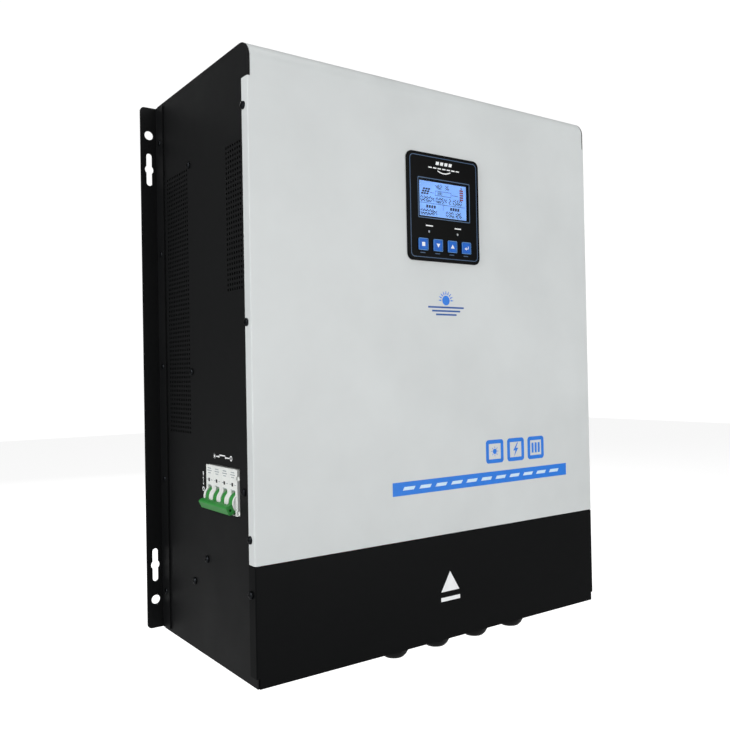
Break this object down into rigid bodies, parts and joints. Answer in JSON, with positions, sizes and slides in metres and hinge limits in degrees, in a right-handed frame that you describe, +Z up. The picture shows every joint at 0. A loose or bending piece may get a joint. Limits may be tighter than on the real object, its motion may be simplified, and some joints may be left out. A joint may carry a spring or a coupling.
{
  "type": "solar charge controller",
  "caption": "Wall-mounted solar charge controller: white front with display and keys, black vented sides with a ganged breaker, wall flanges, fans and cable glands.",
  "frame": {"origin": "the centre of the four round wall holes, on the wall plane", "axes": "+Z up; the front faces -Y and the wall is at y = 0; the breaker is on the -X side"},
  "size_m": [0.516, 0.2389, 0.638],
  "materials": {
    "black_powder_coat": "fine satin texture",
    "white_powder_coat": "fine satin",
    "black_cover_coat": "satin",
    "black_oxide_steel": "black oxide",
    "bezel_plastic": "satin",
    "display_lens": "gloss",
    "lcd_panel": "lit",
    "green_board": "solder mask",
    "black_plastic": "moulded",
    "led_lens": "clear",
    "zinc_steel": "zinc plated",
    "blue_silicone": "satin",
    "breaker_white": "moulded",
    "toggle_green": "moulded",
    "lead_insulation": "satin",
    "sink_aluminium": "extruded",
    "brass": "machined",
    "capacitor_sleeve": "shrink sleeve",
    "ferrite_coating": "epoxy coated",
    "copper_wire": "enamelled",
    "relay_blue": "moulded",
    "ribbon_grey": "satin",
    "terminal_grey": "moulded",
    "gland_nylon": "moulded nylon",
    "seal_rubber": "matte"
  },
  "bodies": {
    "cabinet": {"rear_panel": "black_powder_coat", "left_side_panel": "black_powder_coat", "right_side_panel": "black_powder_coat", "top_panel": "black_powder_coat", "bottom_panel": "black_powder_coat", "left_wall_bracket": "black_powder_coat", "right_wall_bracket": "black_powder_coat", "front_cover": "white_powder_coat", "terminal_cover": "black_cover_coat", "cover_screws": "black_oxide_steel", "terminal_cover_screws": "black_oxide_steel", "bracket_rivets": "black_oxide_steel", "display_bezel": "bezel_plastic", "display_window": "display_lens", "lcd_module": "lcd_panel", "display_board": "green_board", "tact_switches": "black_plastic", "indicator_leds": "led_lens", "display_screws": "zinc_steel", "breaker_body": "breaker_white", "breaker_terminal_screws": "zinc_steel", "din_rail": "zinc_steel", "breaker_bracket": "zinc_steel", "breaker_bracket_screws": "black_oxide_steel", "breaker_leads": "lead_insulation", "mounting_tray": "zinc_steel", "tray_screws": "black_oxide_steel", "heat_sink_base": "sink_aluminium", "heat_sink_fins": "sink_aluminium", "power_board": "green_board", "board_standoffs": "brass", "bulk_capacitors": "capacitor_sleeve", "inductor_cores": "ferrite_coating", "inductor_windings": "copper_wire", "power_transistors": "black_plastic", "transistor_clamp": "zinc_steel", "relays": "relay_blue", "control_chips": "black_plastic", "ribbon_cable": "ribbon_grey", "left_fan_frame": "black_plastic", "right_fan_frame": "black_plastic", "fan_guards": "black_oxide_steel", "fan_screws": "black_oxide_steel", "terminal_block": "terminal_grey", "terminal_screws": "zinc_steel", "earth_stud": "brass", "earth_nuts": "brass", "gland_bodies": "gland_nylon", "gland_cap_nuts": "gland_nylon", "gland_seals": "seal_rubber", "gland_locknuts": "gland_nylon"},
    "menu_button": {"menu_button": "blue_silicone"},
    "down_button": {"down_button": "blue_silicone"},
    "up_button": {"up_button": "blue_silicone"},
    "enter_button": {"enter_button": "blue_silicone"},
    "breaker_handle": {"breaker_toggles": "toggle_green"},
    "left_rotor": {"left_fan_rotor": "black_plastic"},
    "right_rotor": {"right_fan_rotor": "black_plastic"}
  },
  "joints": [
    {"name": "menu_button_press", "type": "slide", "parent": "cabinet", "child": "menu_button", "axis": [0, 1, 0], "range_m": [0, 0.0008], "stiffness_N_per_m": 1500},
    {"name": "down_button_press", "type": "slide", "parent": "cabinet", "child": "down_button", "axis": [0, 1, 0], "range_m": [0, 0.0008], "stiffness_N_per_m": 1500},
    {"name": "up_button_press", "type": "slide", "parent": "cabinet", "child": "up_button", "axis": [0, 1, 0], "range_m": [0, 0.0008], "stiffness_N_per_m": 1500},
    {"name": "enter_button_press", "type": "slide", "parent": "cabinet", "child": "enter_button", "axis": [0, 1, 0], "range_m": [0, 0.0008], "stiffness_N_per_m": 1500},
    {"name": "breaker_switch", "type": "hinge", "parent": "cabinet", "child": "breaker_handle", "pos_m": [-0.2325, -0.1655, -0.136], "axis": [0, 1, 0], "range_deg": [0, 54]},
    {"name": "left_fan_spin", "type": "hinge", "parent": "cabinet", "child": "left_rotor", "pos_m": [-0.075, -0.05075, -0.29], "axis": [0, 0, 1], "continuous": true},
    {"name": "right_fan_spin", "type": "hinge", "parent": "cabinet", "child": "right_rotor", "pos_m": [0.075, -0.05075, -0.29], "axis": [0, 0, 1], "continuous": true}
  ]
}
